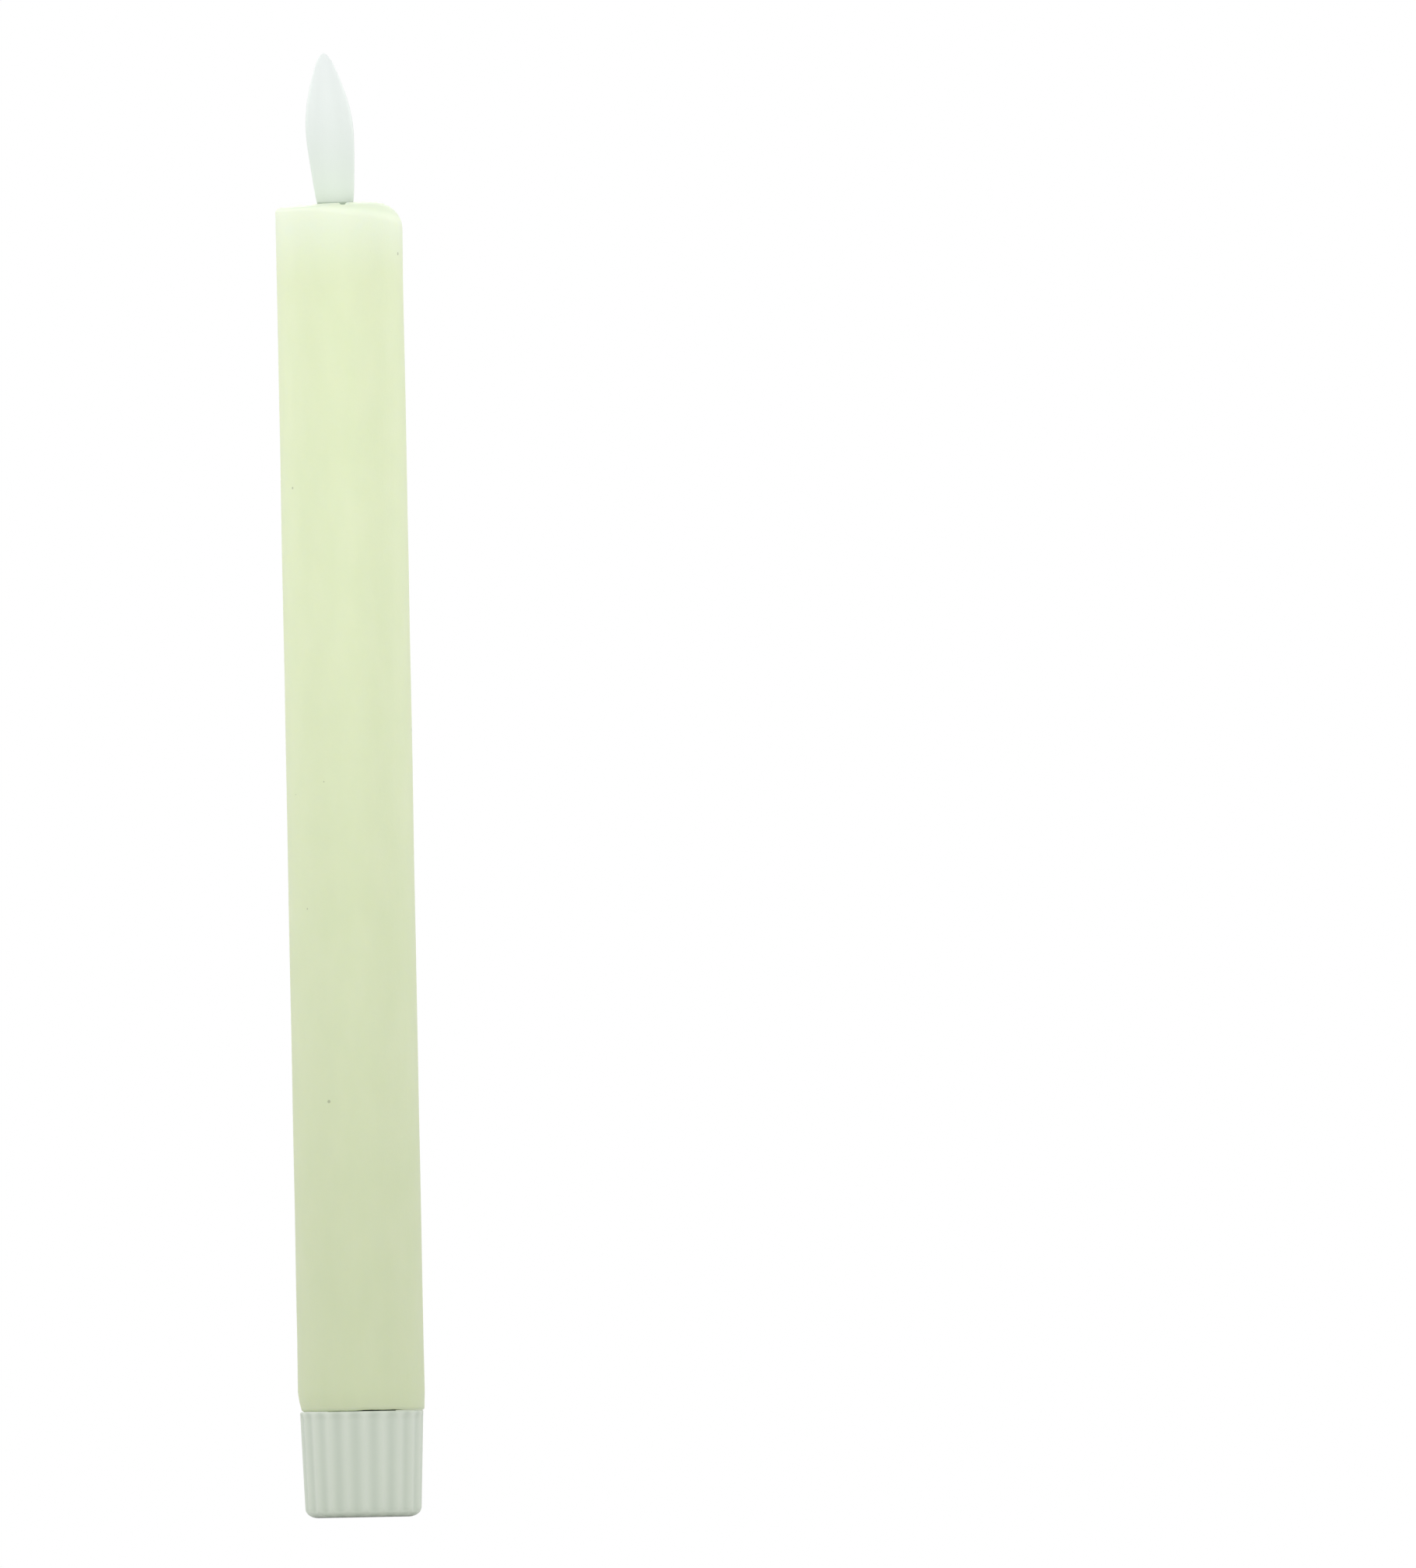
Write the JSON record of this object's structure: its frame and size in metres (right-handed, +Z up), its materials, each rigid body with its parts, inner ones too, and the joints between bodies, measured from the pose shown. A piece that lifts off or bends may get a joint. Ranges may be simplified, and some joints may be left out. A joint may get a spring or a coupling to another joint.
{
  "type": "flameless led candle",
  "caption": "Flameless taper candle: a wax-coated tube for AAA cells, with a swinging lit flame on top and a ribbed screw cap that carries the battery spring.",
  "frame": {"origin": "centre of the cap's flat foot, on the surface that the candle stands on", "axes": "+Z up along the candle to the flame, -Y the front, -X the side that the flame leans to at rest"},
  "size_m": [0.022, 0.022, 0.254],
  "materials": {
    "wax": "smooth satin wax",
    "ivory_plastic": "moulded satin, ribbed",
    "grey_plastic": "moulded satin",
    "white_plastic": "moulded satin",
    "black_plastic": "moulded matte",
    "flame_plastic": "translucent frosted",
    "nickel": "bright nickel plate",
    "steel": "drawn wire",
    "brass": "nickel-plated brass",
    "copper": "enamelled copper wire",
    "cell_jacket": "plain printed sleeve over a metal can",
    "board": "green solder mask",
    "resistor": "ceramic chip",
    "capacitor": "sleeved can",
    "clear_lens": "clear epoxy",
    "red_wire": "insulated wire",
    "black_wire": "insulated wire"
  },
  "bodies": {
    "candle_body": {"wax_sleeve": "wax", "core_tube": "white_plastic", "threaded_collar": "brass", "battery_tube": "white_plastic", "negative_strip": "nickel", "positive_plate": "nickel", "terminal_holder": "white_plastic", "circuit_board": "board", "board_clip_lower": "white_plastic", "board_clip_upper": "white_plastic", "controller_chip": "black_plastic", "drive_transistor": "black_plastic", "resistor_lower": "resistor", "resistor_upper": "resistor", "capacitor": "capacitor", "positive_lead": "red_wire", "negative_lead": "black_wire", "led_lead_left": "red_wire", "led_lead_right": "black_wire", "coil_lead_left": "copper", "coil_lead_right": "copper", "flame_socket": "white_plastic", "coil_bobbin": "white_plastic", "coil_winding": "copper", "led": "clear_lens", "pivot_wire": "steel"},
    "cell_stack": {"lower_cell": "cell_jacket", "upper_cell": "cell_jacket", "battery_spring": "steel"},
    "cap": {"cap_shell": "ivory_plastic", "thread_plug": "grey_plastic", "cap_contact": "nickel"},
    "flame": {"flame_shell": "flame_plastic", "flame_stem": "white_plastic", "magnet": "nickel"}
  },
  "joints": [
    {"name": "cap_travel", "type": "slide", "parent": "candle_body", "child": "cell_stack", "axis": [0, 0, -1], "range_m": [0, 0.0054]},
    {"name": "cap_turn", "type": "hinge", "parent": "cell_stack", "child": "cap", "pos_m": [0, 0, 0.0184], "axis": [0, 0, -1], "range_deg": [0, 1080]},
    {"name": "flame_swing", "type": "hinge", "parent": "candle_body", "child": "flame", "pos_m": [0, 0, 0.224], "axis": [0, 1, 0], "range_deg": [-14, 21]}
  ],
  "couplings": [
    {"joint": "cap_travel", "follows": "cap_turn", "m_per_rad": 0.00028648}
  ]
}
